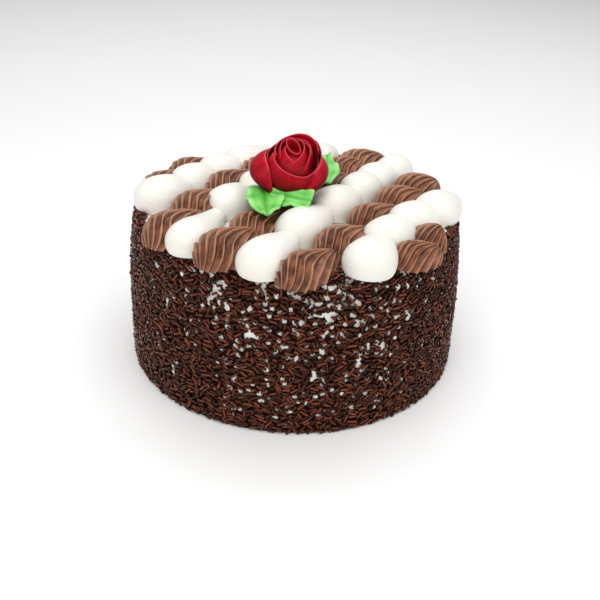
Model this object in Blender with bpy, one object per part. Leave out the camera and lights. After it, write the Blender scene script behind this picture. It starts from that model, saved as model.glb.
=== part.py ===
"""Round iced cake, its top piped with rows of white and chocolate shells like a checkerboard.

The side is coated in chocolate sprinkles, and a piped rose with three leaves sits on the shells.
All sizes are in metres. The origin is the middle of the cake's flat base, and +Z is up.
"""

import math
import random

import bmesh
import bpy
from mathutils import Vector

MM = 0.001
GAP = 0.3 * MM
CUTTER_GROWTH = 0.4 * MM
BLOCK_SIZE = 120 * MM

# The drum: two layers under one coat of icing.
HEIGHT = 98 * MM
BASE_RADIUS = 108 * MM
TOP_RADIUS = 104.1 * MM
RIM_ROUNDING = 3 * MM
FOOT_ROUNDING = 1.5 * MM
DRUM_SIDES = 48

# Sprinkles pressed into the drum's side, spread by a sunflower spiral.
SPRINKLE_COUNT = 112
SPRINKLE_LENGTH = 7.5 * MM
SPRINKLE_RADIUS = 1.0 * MM
SPRINKLE_SIDES = 6
SPRINKLE_STANDS_OUT = 0.25 * MM
LOWEST_SPRINKLE = 5 * MM
HIGHEST_SPRINKLE = 89 * MM
GOLDEN_ANGLE = math.pi * (3 - math.sqrt(5))
SPRINKLE_SEED = 8

# The shells stand in rows. A row runs at ROW_ANGLE from +X, from each head towards its tail.
ROW_ANGLE = math.radians(64)
SHELL_RINGS = 4
SEAM_STEPS = 20
# Each row: its letter, its finish, and its heads: their place along and across the rows in mm.
ROWS = (
    ("z", "choc", ((-36, -78), (-6, -79))),
    ("a", "white", ((-51, -68), (-19, -67), (6, -63), (29, -58))),
    ("b", "choc", ((-88, -35), (-54, -41), (-14, -44), (20, -40), (55, -38))),
    ("c", "white", ((-90, -18), (-38, -27), (-4, -27), (30, -23), (65, -18))),
    ("d", "choc", ((-94, 3), (-61, 3), (-22, 4), (16, 6), (48, 7), (70, 10))),
    ("e", "white", ((-92, 28), (-49, 27), (-8, 28), (26, 31), (50, 32), (72, 37))),
    ("f", "choc", ((-91, 48), (-54, 52), (-15, 55), (20, 58), (46, 60))),
    ("g", "white", ((-64, 75), (-33, 73), (-6, 77), (18, 84))),
    ("h", "choc", ((-44, 91), (-21, 93))),
)
# Shells piped clearly larger or smaller than the others.
SIZES = {
    "white_shell_a1": 1.12,
    "choc_shell_d1": 1.08,
    "white_shell_e2": 1.05,
    "choc_shell_h1": 0.82,
    "choc_shell_h2": 0.86,
}
# A tail lies along its row on the left of the cake, and swings to the right across it.
STEADY_SWING = math.radians(30)
LATE_SWING = math.radians(66)
LATE_SWING_POWER = 6
WHITE_SWING_SHARE = 0.35
TAIL_TO_NEXT_HEAD = 0.92
LAST_TAIL_STRETCH = 1.3
LAST_TAIL_END = 99 * MM
SHELL_UNEVENNESS = 0.04
SHELL_TURN = math.radians(4)
NUMBER_STEP = 12.99
CHANNEL_STEP = 78.23
# A head piped out over the rim sinks this far.
RIM_DROOP = 3 * MM
DROOP_FROM = 99 * MM


class ShellKind:
    """Sizes of one piping tip's shells. A smooth round tip has no ribs."""

    def __init__(self, half_width, nose, tail, height, middle, taper, pole, ribs, rib_depth, foot):
        self.half_width = half_width
        self.nose = nose
        self.tail = tail
        self.height = height
        self.middle = middle
        self.taper = taper
        self.pole = pole
        self.ribs = ribs
        self.rib_depth = rib_depth
        self.foot = foot


KINDS = {
    "white": ShellKind(13.9 * MM, 13.9 * MM, 30 * MM, 16.5 * MM, 0.36, 0.5, math.radians(26), 0, 0, 0),
    "choc": ShellKind(13.6 * MM, 13.8 * MM, 32 * MM, 14.8 * MM, 0.16, 0.32, math.radians(26), 12, 0.1, 0.03),
}
SMOOTH_SIDES = 12
FOOT_POWER = 6

# The rose stands on the shells, with its axis leaning towards the front.
ROSE_PLACE = (-5 * MM, -21 * MM, HEIGHT + 11.5 * MM)
ROSE_LEAN = math.radians(12)
ROSE_REACH = 60 * MM
ROSE_BUD_SIDES = 10
# Profile of the bud: radius and height of each ring, in mm. The last two sink into its tip.
ROSE_BUD = ((8, 0), (12.5, 3), (13.5, 14), (11.5, 24), (7.5, 32.5), (6, 34.5), (3.6, 34.8), (2.4, 30))
PETAL_COLUMNS = 5
PETAL_ROWS = 2
# Each petal: where its middle points and its half span in degrees, then in mm the height of its foot,
# the radius of foot and rim, the height of the rim, and its drop from its middle to its ends.
PETALS = (
    (-150, 75, 16, 10.5, 8.5, 36.5, 3),
    (40, 85, 14, 11.5, 12, 37, 5),
    (-62, 80, 10, 12.5, 16.5, 26.5, -9),
    (150, 62, 9, 12.0, 18, 32, 5),
    (75, 58, 8, 12.0, 20, 29, 6),
    (195, 52, 7.5, 12, 23.5, 24.5, 6),
    (-8, 50, 7.5, 12, 23.5, 25, 6),
    (-118, 50, 7, 12, 20.5, 18, 5),
    (-55, 45, 7, 12, 20, 17, 5),
)
PETAL_THICK = 2.4 * MM
PETAL_RIM_THICK = 1.2 * MM
PETAL_FLARE = 0.55
PETAL_TUCK = 0.16

# Leaves: thin wavy strips. Each has, in mm, its foot, its tip, its half width, how high foot and tip
# lie over the drum, how far its edges are raised, the height of its waves, and how many there are.
LEAF_THICK = 1.6 * MM
LEAF_COLUMNS = 8
LEAF_STRIPS = 4
LEAVES = {
    "leaf_front_left": ((-20, -25), (-15, -63), 10.5, 19.6, 17.6, 0.5, 0.7, 2.5),
    "leaf_front_right": ((-4.5, -36), (12, -45), 8.0, 19.4, 19.4, 0.5, 0.6, 2.0),
    "leaf_back_right": ((16, -14), (19, 36), 8.5, 19.5, 20.0, 0.5, 0.8, 2.5),
}
# How wide a leaf stays at its ends, and how much of a wave its outline follows.
LEAF_END_WIDTH = 0.25
LEAF_OUTLINE_START = 0.12
LEAF_OUTLINE_SPAN = 0.8

FINISHES = {
    "icing": ((0.86, 0.83, 0.77, 1), 0.45),
    "choc": ((0.26, 0.13, 0.085, 1), 0.42),
    "sprinkles": ((0.075, 0.022, 0.016, 1), 0.35),
    "rose": ((0.42, 0.008, 0.018, 1), 0.4),
    "leaf": ((0.16, 0.62, 0.11, 1), 0.42),
}


def clear_scene():
    for thing in list(bpy.data.objects):
        bpy.data.objects.remove(thing)


def make_finish(name):
    colour, roughness = FINISHES[name]
    finish = bpy.data.materials.new(name)
    finish.use_nodes = True
    shader = finish.node_tree.nodes["Principled BSDF"]
    shader.inputs["Base Color"].default_value = colour
    shader.inputs["Roughness"].default_value = roughness
    shader.inputs["Metallic"].default_value = 0.0
    return finish


def add_object(name, mesh_data, finish=None):
    """Turns a bmesh into an object of its own, in triangles that point out."""
    bmesh.ops.triangulate(mesh_data, faces=mesh_data.faces)
    bmesh.ops.recalc_face_normals(mesh_data, faces=mesh_data.faces)
    mesh = bpy.data.meshes.new(name)
    mesh_data.to_mesh(mesh)
    mesh_data.free()
    mesh.shade_smooth()
    thing = bpy.data.objects.new(name, mesh)
    bpy.context.scene.collection.objects.link(thing)
    if finish:
        mesh.materials.append(finish)
    return thing


def is_closed(mesh):
    shape = bmesh.new()
    shape.from_mesh(mesh)
    closed = len(shape.faces) > 0 and all(len(edge.link_faces) == 2 for edge in shape.edges)
    shape.free()
    return closed


def apply_boolean(target, operation, other, solver):
    """One Boolean on target, applied and left in triangles. Other is an object, or a collection."""
    modifier = target.modifiers.new(operation.lower(), "BOOLEAN")
    modifier.operation = operation
    modifier.solver = solver
    if isinstance(other, bpy.types.Collection):
        modifier.operand_type = "COLLECTION"
        modifier.collection = other
    else:
        modifier.object = other
    with bpy.context.temp_override(object=target, active_object=target):
        bpy.ops.object.modifier_apply(modifier=modifier.name)
    shape = bmesh.new()
    shape.from_mesh(target.data)
    bmesh.ops.triangulate(shape, faces=shape.faces, ngon_method="EAR_CLIP")
    shape.to_mesh(target.data)
    shape.free()


def boolean(target, operation, other):
    """An exact Boolean, or a manifold one where the exact one leaves the surface open."""
    before = target.data.copy()
    apply_boolean(target, operation, other, "EXACT")
    if not is_closed(target.data):
        target.data = before
        apply_boolean(target, operation, other, "MANIFOLD")


def unevenness(number, channel):
    """A repeatable value from -1 to 1, which makes no two shells quite alike."""
    return math.sin(number * NUMBER_STEP + channel * CHANNEL_STEP)


def drum_shape(grown=0):
    """The plain drum, its rim and foot rounded, and all of it grown outwards if asked."""
    shape = bmesh.new()
    bmesh.ops.create_cone(
        shape,
        segments=DRUM_SIDES,
        radius1=BASE_RADIUS + grown,
        radius2=TOP_RADIUS + grown,
        depth=HEIGHT + grown,
        cap_ends=True,
    )
    bmesh.ops.translate(shape, verts=shape.verts, vec=(0, 0, (HEIGHT + grown) / 2))
    for level, rounding, segments in ((HEIGHT + grown, RIM_ROUNDING, 2), (0, FOOT_ROUNDING, 1)):
        rim = [edge for edge in shape.edges if all(abs(v.co.z - level) < MM for v in edge.verts)]
        bmesh.ops.bevel(shape, geom=rim, offset=rounding, segments=segments, profile=0.5, affect="EDGES")
    return shape


def sprinkle_shape():
    """A six-sided rod along X."""
    shape = bmesh.new()
    bmesh.ops.create_cone(
        shape,
        segments=SPRINKLE_SIDES,
        radius1=SPRINKLE_RADIUS,
        radius2=SPRINKLE_RADIUS,
        depth=SPRINKLE_LENGTH,
        cap_ends=True,
    )
    lying = Vector((0, 0, 1)).rotation_difference((1, 0, 0)).to_matrix()
    bmesh.ops.rotate(shape, verts=shape.verts, matrix=lying)
    return shape


def coat_with_sprinkles(drum):
    """Fuses sprinkles over the whole side of the drum, each lying flat in its own direction."""
    coat = bpy.data.collections.new("sprinkle_coat")
    bpy.context.scene.collection.children.link(coat)
    draw = random.Random(SPRINKLE_SEED)
    rise = (HIGHEST_SPRINKLE - LOWEST_SPRINKLE) / SPRINKLE_COUNT
    slope = math.atan2(BASE_RADIUS - TOP_RADIUS, HEIGHT)
    for number in range(SPRINKLE_COUNT):
        level = LOWEST_SPRINKLE + rise * (number + 0.5)
        around = number * GOLDEN_ANGLE
        radius = BASE_RADIUS + (TOP_RADIUS - BASE_RADIUS) * level / HEIGHT + SPRINKLE_STANDS_OUT
        shape = sprinkle_shape()
        mesh = bpy.data.meshes.new("sprinkle")
        shape.to_mesh(mesh)
        shape.free()
        sprinkle = bpy.data.objects.new("sprinkle", mesh)
        sprinkle.location = (radius * math.cos(around), radius * math.sin(around), level)
        sprinkle.rotation_mode = "XYZ"
        turn = draw.uniform(0, math.pi)
        lie = Vector((0, math.cos(turn), math.sin(turn)))
        lie.rotate(Vector((1, 0, 0)).rotation_difference((math.cos(slope), 0, math.sin(slope))))
        heading = Vector(
            (
                lie.x * math.cos(around) - lie.y * math.sin(around),
                lie.x * math.sin(around) + lie.y * math.cos(around),
                lie.z,
            )
        )
        sprinkle.rotation_euler = Vector((1, 0, 0)).rotation_difference(heading).to_euler()
        coat.objects.link(sprinkle)
    bpy.context.view_layer.update()
    boolean(drum, "UNION", coat)
    for sprinkle in list(coat.objects):
        bpy.data.objects.remove(sprinkle)
    bpy.data.collections.remove(coat)


def shell_point(kind, around, share, crest):
    """A point of a shell whose head is over the origin and whose tail points along +X.

    The lines of longitude start at the tail and fan over the head down to the base. Around is the
    longitude, share runs from 0 at the tail to 1 at the base, and crest is 1 on a rib and 0 between.
    """
    pole = Vector((math.cos(kind.pole), 0, math.sin(kind.pole)))
    across = Vector((-pole.z, 0, pole.x)) * math.cos(around) + Vector((0, 1, 0)) * math.sin(around)
    reach = math.atan2(across.z, pole.z) + math.acos(-kind.middle / math.hypot(pole.z, across.z))
    angle = reach * share
    point = pole * math.cos(angle) + across * math.sin(angle)
    sunk = 1 - kind.rib_depth * (1 - crest) * min(1, 2 * share)
    spread = sunk + kind.foot * crest * share**FOOT_POWER
    length = kind.tail if point.x > 0 else kind.nose
    taper = 1 - kind.taper * max(0, point.x) ** 2
    height = (point.z + kind.middle) / (1 + kind.middle) * sunk
    return Vector(
        (
            point.x * spread * length,
            point.y * spread * taper * kind.half_width,
            height * taper * kind.height,
        )
    )


def shell_shape(kind, ribbed):
    """A closed shell, its base flat at z = 0."""
    sides = kind.ribs * (2 if ribbed else 1) or SMOOTH_SIDES
    shape = bmesh.new()
    tail = shape.verts.new(shell_point(kind, 0, 0, 1))
    rings = []
    for ring in range(1, SHELL_RINGS + 1):
        share = ring / SHELL_RINGS
        corners = []
        for side in range(sides):
            crest = 1 if not ribbed or side % 2 == 0 else 0
            point = shell_point(kind, math.tau * side / sides, share, crest)
            corners.append(shape.verts.new(point))
        rings.append(corners)
    for side in range(sides):
        after = (side + 1) % sides
        shape.faces.new((tail, rings[0][side], rings[0][after]))
        for inner, outer in zip(rings, rings[1:]):
            shape.faces.new((inner[side], outer[side], outer[after]))
            shape.faces.new((inner[side], outer[after], inner[after]))
    shape.faces.new(rings[-1])
    return shape


class Shell:
    """One shell of the top: its kind, its place and its slightly uneven size."""

    def __init__(self, number, name, finish, along, across):
        self.name = name
        self.finish = finish
        self.kind = KINDS[finish]
        self.x = (along * math.cos(ROW_ANGLE) + across * math.sin(ROW_ANGLE)) * MM
        self.y = (along * math.sin(ROW_ANGLE) - across * math.cos(ROW_ANGLE)) * MM
        self.turn = self.swing() + SHELL_TURN * unevenness(number, 1)
        self.size = SIZES.get(name, 1) * (1 + SHELL_UNEVENNESS * unevenness(number, 2))
        self.droop = RIM_DROOP if math.hypot(self.x, self.y) > DROOP_FROM else 0
        self.tail = self.kind.tail
        self.cuts = []

    def swing(self):
        """The way the tail points: along the row on the left, and round to the right across the cake."""
        share = (self.x + TOP_RADIUS) / (2 * TOP_RADIUS)
        swing = STEADY_SWING * share + LATE_SWING * share**LATE_SWING_POWER
        return ROW_ANGLE - swing * (WHITE_SWING_SHARE if self.finish == "white" else 1)

    def meet(self, following):
        """Draws this tail out to the next head of the row, and parts the two with a flat gap."""
        joining = Vector((following.x - self.x, following.y - self.y, 0))
        self.tail = joining.length * TAIL_TO_NEXT_HEAD
        joining.normalize()
        seam = find_seam(self, following)
        middle = Vector((self.x, self.y, HEIGHT)) + joining * seam
        self.cuts.append((middle - joining * GAP / 2, joining))
        following.cuts.append((middle + joining * GAP / 2, -joining))

    def end_near_rim(self):
        """Draws out the last tail of a row, but not past the rim."""
        self.tail *= LAST_TAIL_STRETCH
        tip_x = self.x + self.tail * math.cos(self.turn)
        tip_y = self.y + self.tail * math.sin(self.turn)
        self.tail -= max(0, math.hypot(tip_x, tip_y) - LAST_TAIL_END)

    def half_width(self, along):
        """Half the shell's width, this far from the middle of its head towards its tail."""
        length = self.tail if along > 0 else self.kind.nose
        share = min(1, abs(along) / (length * self.size))
        taper = 1 - self.kind.taper * share**2 if along > 0 else 1
        return self.kind.half_width * self.size * taper * math.sqrt(1 - share**2)

    def shape(self, ribbed):
        shape = shell_shape(self.kind, ribbed)
        for vertex in shape.verts:
            if vertex.co.x > 0:
                vertex.co.x *= self.tail / self.kind.tail
            vertex.co *= self.size
        return shape

    def place(self, name, shape, finish=None):
        thing = add_object(name, shape, finish)
        thing.location = (self.x, self.y, HEIGHT + GAP - self.droop)
        thing.rotation_euler.z = self.turn
        return thing


def find_seam(first, second):
    """How far from the first head the two shells are equally wide, which is where they meet."""
    pitch = math.hypot(second.x - first.x, second.y - first.y)
    near = 0
    far = pitch
    for _ in range(SEAM_STEPS):
        middle = (near + far) / 2
        if first.half_width(middle) > second.half_width(middle - pitch):
            near = middle
        else:
            far = middle
    return near


def lay_out_shells():
    shells = []
    for row, finish, heads in ROWS:
        line = []
        for place_in_row, (along, across) in enumerate(heads, 1):
            name = f"{finish}_shell_{row}{place_in_row}"
            line.append(Shell(len(shells) + len(line), name, finish, along, across))
        for first, second in zip(line, line[1:]):
            first.meet(second)
        line[-1].end_near_rim()
        shells += line
    return shells


def cut_flat(thing, place, direction):
    """Cuts off what lies beyond an upright plane at place, facing in direction."""
    shape = bmesh.new()
    bmesh.ops.create_cube(shape, size=BLOCK_SIZE)
    block = add_object("block", shape)
    block.location = place + direction * BLOCK_SIZE / 2
    block.rotation_euler.z = math.atan2(direction.y, direction.x)
    bpy.context.view_layer.update()
    boolean(thing, "DIFFERENCE", block)
    bpy.data.objects.remove(block)


def build_shells(finishes, rim_cutter):
    """Every shell. Shells of a row meet face to face, and white presses into chocolate."""
    shells = lay_out_shells()
    cutters = []
    for shell in shells:
        hull = shell.shape(ribbed=False)
        bmesh.ops.recalc_face_normals(hull, faces=hull.faces)
        hull.normal_update()
        for vertex in hull.verts:
            vertex.co += vertex.normal * CUTTER_GROWTH
        cutter = shell.place(shell.name + "_cutter", hull)
        cutter.hide_render = True
        cutter.display_type = "WIRE"
        cutters.append(cutter)
    built = []
    for shell in shells:
        thing = shell.place(shell.name, shell.shape(ribbed=True), finishes[shell.finish])
        for place, direction in shell.cuts:
            cut_flat(thing, place, direction)
        for other, cutter in zip(shells, cutters):
            reach = shell.tail + other.tail
            near = math.hypot(shell.x - other.x, shell.y - other.y) < reach
            if shell.finish == "choc" and other.finish == "white" and near:
                boolean(thing, "DIFFERENCE", cutter)
        if shell.droop:
            boolean(thing, "DIFFERENCE", rim_cutter)
        built.append(thing)
    return built, cutters


def keep_largest_body(thing):
    """Drops the loose scraps that a cut leaves beside the main body."""
    shape = bmesh.new()
    shape.from_mesh(thing.data)
    unseen = set(shape.verts)
    bodies = []
    while unseen:
        body = set()
        edge_of_body = [unseen.pop()]
        while edge_of_body:
            vertex = edge_of_body.pop()
            body.add(vertex)
            for edge in vertex.link_edges:
                other = edge.other_vert(vertex)
                if other in unseen:
                    unseen.remove(other)
                    edge_of_body.append(other)
        bodies.append(body)
    largest = max(bodies, key=lambda body: sum(face.calc_area() for v in body for face in v.link_faces))
    bmesh.ops.delete(shape, geom=[v for v in shape.verts if v not in largest], context="VERTS")
    shape.to_mesh(thing.data)
    shape.free()


def closed_strip(front, back):
    """A closed solid between two grids of points, with both faces split into triangles alike."""
    shape = bmesh.new()
    grids = [[[shape.verts.new(point) for point in line] for line in grid] for grid in (front, back)]
    lines = len(front)
    columns = len(front[0])
    for grid in grids:
        for i in range(lines - 1):
            for j in range(columns - 1):
                a, b = grid[i][j], grid[i + 1][j]
                c, d = grid[i + 1][j + 1], grid[i][j + 1]
                shape.faces.new((a, b, c))
                shape.faces.new((a, c, d))
    border = [(i, 0) for i in range(lines)]
    border += [(lines - 1, j) for j in range(1, columns)]
    border += [(i, columns - 1) for i in range(lines - 2, -1, -1)]
    border += [(0, j) for j in range(columns - 2, 0, -1)]
    for (i, j), (k, m) in zip(border, border[1:] + border[:1]):
        shape.faces.new((grids[0][i][j], grids[0][k][m], grids[1][k][m], grids[1][i][j]))
    return shape


def petal_shape(middle, half_span, foot, foot_radius, rim_radius, rim, drop):
    """One upright petal that curls round the bud and flares out at its rim."""
    outer = []
    inner = []
    for column in range(PETAL_COLUMNS + 1):
        across = 2 * column / PETAL_COLUMNS - 1
        angle = math.radians(middle + half_span * across)
        outer_line = []
        inner_line = []
        for row in range(PETAL_ROWS + 1):
            rise = row / PETAL_ROWS
            tuck = 1 - PETAL_TUCK * across**4
            radius = (foot_radius + (rim_radius - foot_radius) * rise**PETAL_FLARE) * tuck * MM
            thick = PETAL_THICK + (PETAL_RIM_THICK - PETAL_THICK) * rise
            level = (foot + (rim - drop * across**2 - foot) * rise) * MM
            outer_line.append(Vector((radius * math.cos(angle), radius * math.sin(angle), level)))
            radius -= thick
            inner_line.append(Vector((radius * math.cos(angle), radius * math.sin(angle), level)))
        outer.append(outer_line)
        inner.append(inner_line)
    return closed_strip(outer, inner)


def bud_shape():
    """The bud in the middle of the rose, with the hollow at its tip."""
    shape = bmesh.new()
    rings = []
    for radius, level in ROSE_BUD:
        ring = []
        for side in range(ROSE_BUD_SIDES):
            angle = math.tau * side / ROSE_BUD_SIDES
            point = Vector((radius * math.cos(angle), radius * math.sin(angle), level)) * MM
            ring.append(shape.verts.new(point))
        rings.append(ring)
    for lower, upper in zip(rings, rings[1:]):
        for side in range(ROSE_BUD_SIDES):
            after = (side + 1) % ROSE_BUD_SIDES
            shape.faces.new((lower[side], lower[after], upper[after], upper[side]))
    shape.faces.new(rings[0])
    shape.faces.new(rings[-1])
    return shape


def build_rose(finish, cutters):
    """The bud and its petals as one piece, seated on the shells and leaves under it."""
    rose = add_object("rose", bud_shape(), finish)
    petals = bpy.data.collections.new("petals")
    bpy.context.scene.collection.children.link(petals)
    for sizes in PETALS:
        petal = add_object("petal", petal_shape(*sizes))
        bpy.context.scene.collection.objects.unlink(petal)
        petals.objects.link(petal)
    boolean(rose, "UNION", petals)
    for petal in list(petals.objects):
        bpy.data.objects.remove(petal)
    bpy.data.collections.remove(petals)
    rose.location = ROSE_PLACE
    rose.rotation_euler.x = ROSE_LEAN
    bpy.context.view_layer.update()
    for cutter in cutters:
        if (cutter.location.xy - rose.location.xy).length < ROSE_REACH or "leaf" in cutter.name:
            boolean(rose, "DIFFERENCE", cutter)
    return rose


def leaf_shape(foot, tip, half_width, foot_level, tip_level, raised, wave, waves, grown=0):
    """A thin leaf from foot to tip: narrow at both ends, with wavy edges and a sunk middle."""
    start = Vector(foot)
    along = Vector(tip) - start
    across = Vector((-along.y, along.x)).normalized()
    top = []
    bottom = []
    for column in range(LEAF_COLUMNS + 1):
        share = column / LEAF_COLUMNS
        outline = math.sin(math.pi * (LEAF_OUTLINE_START + LEAF_OUTLINE_SPAN * share))
        width = half_width * (LEAF_END_WIDTH + (1 - LEAF_END_WIDTH) * outline) + grown / MM
        level = foot_level + (tip_level - foot_level) * share
        top_line = []
        bottom_line = []
        for strip in range(LEAF_STRIPS + 1):
            side = 2 * strip / LEAF_STRIPS - 1
            place = start + along * share + across * width * side
            place += along.normalized() * (2 * share - 1) * grown / MM
            ripple = wave * abs(side) * math.sin(math.tau * waves * share + side)
            height = level + raised * side**2 + ripple
            point = Vector((place.x * MM, place.y * MM, HEIGHT + height * MM))
            top_line.append(point + Vector((0, 0, grown)))
            bottom_line.append(point - Vector((0, 0, LEAF_THICK + grown)))
        top.append(top_line)
        bottom.append(bottom_line)
    return closed_strip(top, bottom)


def main():
    clear_scene()
    finishes = {name: make_finish(name) for name in FINISHES}
    finishes["white"] = finishes["icing"]
    cake = bpy.data.objects.new("checkerboard_cake", None)
    bpy.context.scene.collection.objects.link(cake)

    drum = add_object("cake_drum", drum_shape(), finishes["sprinkles"])
    coat_with_sprinkles(drum)
    rim_cutter = add_object("rim_cutter", drum_shape(grown=GAP))
    shells, cutters = build_shells(finishes, rim_cutter)
    leaves = [add_object(name, leaf_shape(*sizes), finishes["leaf"]) for name, sizes in LEAVES.items()]
    cutters += [add_object(name + "_cutter", leaf_shape(*sizes, grown=GAP)) for name, sizes in LEAVES.items()]
    rose = build_rose(finishes["rose"], cutters)
    pieces = [drum, rose, *shells, *leaves]
    for piece in pieces:
        keep_largest_body(piece)
        piece.parent = cake
    for cutter in (rim_cutter, *cutters):
        bpy.data.objects.remove(cutter)


main()
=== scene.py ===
"""Dresses the checkerboard cake: icing, sprinkles, piped shells, a rose and its leaves."""

import math
import random

import bmesh
import bpy
import numpy as np
from bpy.props import FloatProperty, FloatVectorProperty, IntProperty, PointerProperty
from mathutils import Matrix, Vector


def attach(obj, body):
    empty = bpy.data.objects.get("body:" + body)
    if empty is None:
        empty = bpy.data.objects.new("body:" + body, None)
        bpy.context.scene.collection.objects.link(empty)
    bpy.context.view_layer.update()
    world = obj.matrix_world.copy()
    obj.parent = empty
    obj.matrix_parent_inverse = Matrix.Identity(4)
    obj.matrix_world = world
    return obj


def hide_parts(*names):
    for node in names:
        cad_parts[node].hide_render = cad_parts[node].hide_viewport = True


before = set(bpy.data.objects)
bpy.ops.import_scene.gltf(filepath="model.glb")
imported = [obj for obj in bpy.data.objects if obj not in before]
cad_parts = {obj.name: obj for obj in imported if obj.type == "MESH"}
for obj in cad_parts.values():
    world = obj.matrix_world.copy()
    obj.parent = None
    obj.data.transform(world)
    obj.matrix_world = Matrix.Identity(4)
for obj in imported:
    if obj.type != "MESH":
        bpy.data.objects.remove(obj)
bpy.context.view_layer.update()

bl_info = {
    "name": "Checkerboard cake",
    "version": (1, 0, 0),
    "blender": (4, 5, 0),
    "location": "View3D > Sidebar > Cake",
    "description": "Builds an iced cake piped with rows of shells, with sprinkles and a rose",
    "category": "Object",
}

MM = 0.001
SEED = 8

# The drum as modelled in the frame, and the gap between it and the shells.
HEIGHT = 98 * MM
BASE_RADIUS = 108 * MM
TOP_RADIUS = 104.1 * MM
RIM_ROUNDING = 4.5 * MM
GAP = 0.3 * MM
# How much fuller its side is halfway up, and how far it is drawn in at the rim.
SIDE_BULGE = 0.8 * MM
RIM_DRAWN_IN = 3.0 * MM
# Its mesh: facets round it, cuts up its side, and rings over the rim and the top.
DRUM_FACETS = 480
SIDE_CUTS = 64
RIM_SEGMENTS = 4
TOP_RINGS = 18
TOP_RING_STEP = 5.4 * MM
# Grain size and height of its unevenness.
ICING_RIPPLE = (26 * MM, 1.2 * MM)

# One sprinkle: its sides, and how long and how narrow its rounded tips are.
SPRINKLE_SIDES = 5
TIP_LENGTH = 0.36 * MM
TIP_SHARE = 0.62
# Each layer of sprinkles: how far it lies off the icing, its share of the spacing, how near a bare
# spot it comes as a share of the spacing, its tries, and the lightest tone in it, lower in the
# lower layer as painted shade.
LAYERS = ((0.4 * MM, 0.74, 0.78, 45000, 0.55), (1.2 * MM, 1.0, 0.56, 90000, 1.0))
# Where the coat starts, how far over the rim it reaches, and its lowest point.
COAT_FROM = 0.9 * MM
COAT_OVER_RIM = 4 * MM
COAT_FOOT = 0.1 * MM
# Least and greatest length as shares of the mean, and the places along a sprinkle that keep clear.
LENGTH_SHARES = (0.62, 1.25)
KEPT_CLEAR = (-0.48, -0.16, 0.16, 0.48)
# Most sprinkles lie nearly level, and the rest any way round. Most lie flat, and a few stick out.
# They differ a little in how far off the icing they lie.
LEVEL_CHANCE = 0.7
LEVEL_SPREAD = math.radians(34)
FLAT_CHANCE = 0.85
FLAT_SPREAD = math.radians(4)
LOOSE_SPREAD = math.radians(16)
OUTWARD_SPREAD_MM = 0.2
# How rare light sprinkles are, and how light the inner side of one is beside its outer side, as
# painted shade on the inner side.
TONE_POWER = 1.2
INNER_SIDE_LIGHT = 0.12

# Where the coat is thinnest, and how wide that stretch is.
THIN_COAT_AT = math.radians(-84)
THIN_COAT_SPREAD = math.radians(44)
# Bare spots: their levels, the chance of one at the back and low down, the level from which it is
# full, how many points make a spot, and the step between them.
SPOT_LEVELS_MM = (6, 95)
SPOT_CHANCE_BEHIND = 0.08
SPOT_CHANCE_LOW = 0.15
SPOTS_FULL_FROM = 75 * MM
SPOT_POINTS = (1, 1, 1, 2)
SPOT_STEP = 1.1 * MM
# Bare streaks, each from one place to another: degrees round the side and mm up it.
BARE_STREAKS = (
    (-74.5, 86, -72.5, 101),
    (-72.5, 94, -70.5, 101),
    (-30, 91, -26, 100),
    (-115.5, 76, -113.5, 86),
)
STREAK_POINTS = 8
# How far from a bare spot its value falls to 0, and how far in from the rim the top is clean.
BARE_REACH = 2.7 * MM
BARE_TOP_EDGE = 6 * MM

# The shells stand in rows, which run at ROW_ANGLE from +X, from each head towards its tail. Each
# head has its place along the row and across the rows, in mm.
ROW_ANGLE = math.radians(64)
ROWS = (
    ("z", "choc", ((-36, -78), (-6, -79))),
    ("a", "white", ((-51, -68), (-19, -67), (6, -63), (29, -58))),
    ("b", "choc", ((-88, -35), (-54, -41), (-14, -44), (20, -40), (55, -38))),
    ("c", "white", ((-90, -18), (-38, -27), (-4, -27), (30, -23), (65, -18))),
    ("d", "choc", ((-94, 3), (-61, 3), (-22, 4), (16, 6), (48, 7), (70, 10))),
    ("e", "white", ((-92, 28), (-49, 27), (-8, 28), (26, 31), (50, 32), (72, 37))),
    ("f", "choc", ((-91, 48), (-54, 52), (-15, 55), (20, 58), (46, 60))),
    ("g", "white", ((-64, 75), (-33, 73), (-6, 77), (18, 84))),
    ("h", "choc", ((-44, 91), (-21, 93))),
)
# Shells larger or smaller than the others of their kind.
SIZES = {
    "white_shell_a1": 1.09,
    "white_shell_c2": 1.06,
    "white_shell_e3": 1.05,
    "choc_shell_d1": 1.08,
    "white_shell_e2": 1.05,
    "choc_shell_h1": 0.82,
    "choc_shell_h2": 0.86,
}
# Shells swing away from the row's line, more and more towards the right. White ones hardly do: all
# but the last of a row point just past the next head.
STEADY_SWING = math.radians(30)
LATE_SWING = math.radians(66)
LATE_SWING_POWER = 6
WHITE_SWING_SHARE = 0.05
WHITE_PAST_NEXT_HEAD = math.radians(2)
# A tail's length as a share of the way to the next head. The last tail of a row is stretched, but
# ends this far from the middle of the cake.
TAIL_TO_NEXT_HEAD = 0.92
LAST_TAIL_STRETCH = 1.3
LAST_TAIL_END = 94 * MM
# How much shells differ in size and turn, and two steps that spread the differences.
SHELL_UNEVENNESS = 0.04
SHELL_TURN = math.radians(4)
NUMBER_STEP = 12.99
CHANNEL_STEP = 78.23
# How far a shell droops whose head stands this far out.
RIM_DROOP = 0.8 * MM
DROOP_FROM = 99 * MM
# How steeply the axis of a shell rises towards its tail, and the rings and segments of its mesh.
TAIL_RISE = math.radians(26)
SHELL_RINGS = 36
SMOOTH_SEGMENTS = 56
# Steps round one rib, the twist of the ribs, and the lean and bluntness of the grooves.
RIB_STEPS = 8
RIB_TWIST = math.radians(-82)
GROOVE_LEAN = 0.7
GROOVE_BLUNTNESS = 0.7
# The painted light and shade round one rib: a flat band, a painted highlight on the ridge at 0 and
# painted shade in the fold beside it, as shares of the rib.
FLAT_TONE = 0.45
HIGHLIGHT_WIDTH = 0.09
FOLD_SHADE_AT = 0.22
FOLD_SHADE_WIDTH = 0.11
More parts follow.
